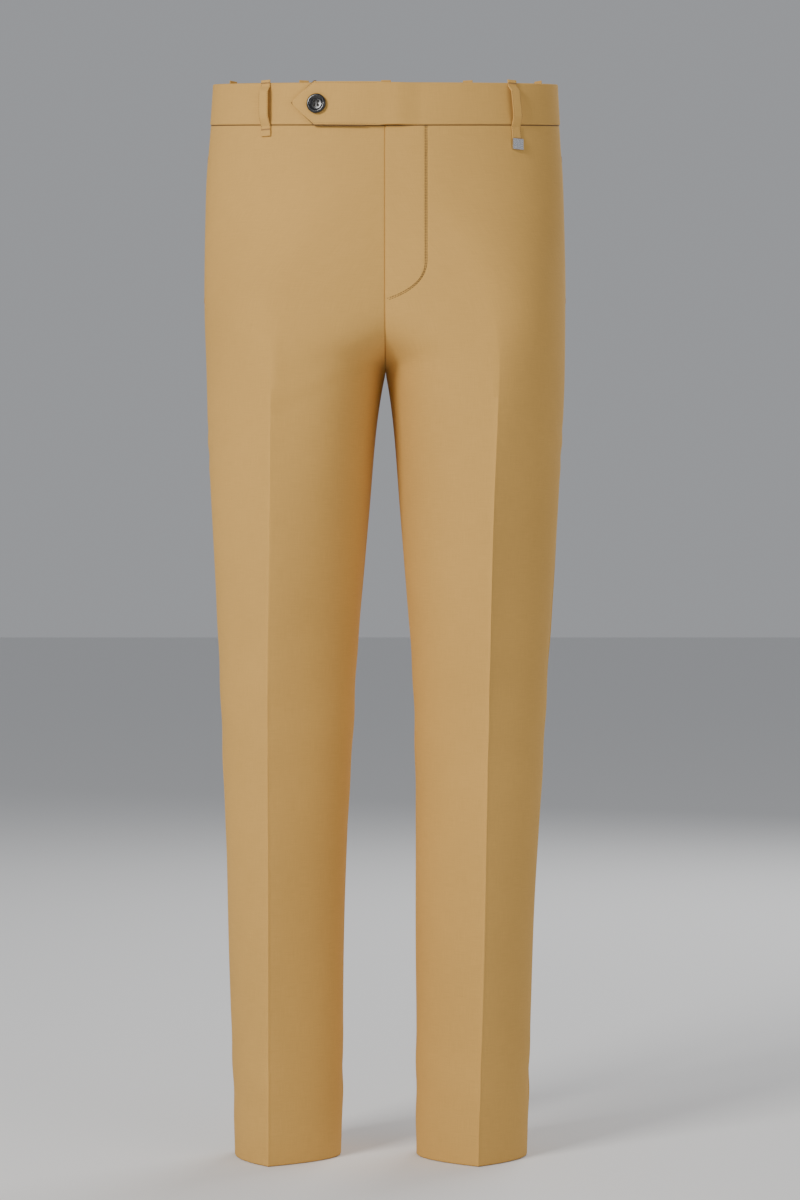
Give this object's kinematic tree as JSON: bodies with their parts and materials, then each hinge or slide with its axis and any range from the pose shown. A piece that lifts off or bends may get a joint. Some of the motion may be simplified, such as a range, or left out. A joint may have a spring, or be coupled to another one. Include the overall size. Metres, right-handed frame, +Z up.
{
  "type": "dress trousers",
  "caption": "Flat-front dress trousers with pressed creases, belt loops, an extended waistband tab with a button, and a zip fly that opens.",
  "frame": {"origin": "middle of the waist opening, level with the waistband's top edge at the side seams", "axes": "+Z up through the waist, +X towards the wearer's left, -Y towards the front"},
  "size_m": [0.353, 0.258, 1.0685],
  "materials": {
    "suiting": "pressed tan twill",
    "curtain_lining": "smooth cream lining",
    "pocketing": "plain woven pocketing",
    "zip_tape": "woven tape",
    "zip_brass": "tumbled",
    "plated_steel": "bright plated",
    "black_button": "polished",
    "brown_button": "polished horn effect",
    "sewing_thread": "waxed thread"
  },
  "bodies": {
    "root": {"right_front_panel": "suiting", "left_front_panel": "suiting", "right_back_panel": "suiting", "left_back_panel": "suiting", "waistband_right": "suiting", "waistband_left": "suiting", "waistband_underlap": "suiting", "fly_facing_base": "suiting", "fly_shield": "suiting", "belt_loop_front_right": "suiting", "belt_loop_front_left": "suiting", "belt_loop_side_right": "suiting", "belt_loop_side_left": "suiting", "belt_loop_back_right": "suiting", "belt_loop_back_left": "suiting", "belt_loop_centre_back": "suiting", "back_welt_upper_right": "suiting", "back_welt_upper_left": "suiting", "back_welt_lower_right": "suiting", "back_welt_lower_left": "suiting", "hem_facing_right": "suiting", "hem_facing_left": "suiting", "waistband_curtain_right": "curtain_lining", "waistband_curtain_left": "curtain_lining", "side_pocket_bag_right": "pocketing", "side_pocket_bag_left": "pocketing", "back_pocket_bag_right": "pocketing", "back_pocket_bag_left": "pocketing", "zip_tape_right": "zip_tape", "zip_tape_left_base": "zip_tape", "zip_teeth_right": "zip_brass", "zip_teeth_left_base": "zip_brass", "zip_bottom_stop": "zip_brass", "waist_hook_bar": "plated_steel", "loop_tag": "plated_steel", "back_pocket_button_right": "brown_button", "back_pocket_button_left": "brown_button"},
    "flap": {"fly_flap": "suiting", "fly_waistband": "suiting", "fly_facing": "suiting", "zip_tape_left": "zip_tape", "zip_teeth_left": "zip_brass"},
    "tab": {"closure_tab": "suiting", "button_thread": "sewing_thread", "tab_button": "black_button", "waist_hook": "plated_steel"},
    "slider": {"zip_slider": "zip_brass"},
    "pull": {"zip_pull": "zip_brass"}
  },
  "joints": [
    {"name": "fly_open", "type": "hinge", "parent": "root", "child": "flap", "pos_m": [0, -0.0993, -0.222], "axis": [0.2336, 0, 0.9723], "range_deg": [0, 110]},
    {"name": "tab_swing", "type": "hinge", "parent": "flap", "child": "tab", "pos_m": [0, -0.1046, -0.035], "axis": [0, 0, 1], "range_deg": [0, 90]},
    {"name": "zip_slide", "type": "slide", "parent": "root", "child": "slider", "axis": [0, 0, -1], "range_m": [0, 0.12]},
    {"name": "zip_pull_flip", "type": "hinge", "parent": "slider", "child": "pull", "pos_m": [0.0043, -0.09594, -0.0603], "axis": [-1, 0, 0], "range_deg": [0, 50]}
  ],
  "couplings": [
    {"joint": "zip_slide", "follows": "fly_open", "m_per_rad": 0.062504},
    {"joint": "zip_pull_flip", "follows": "fly_open", "ratio": 0.45454}
  ]
}
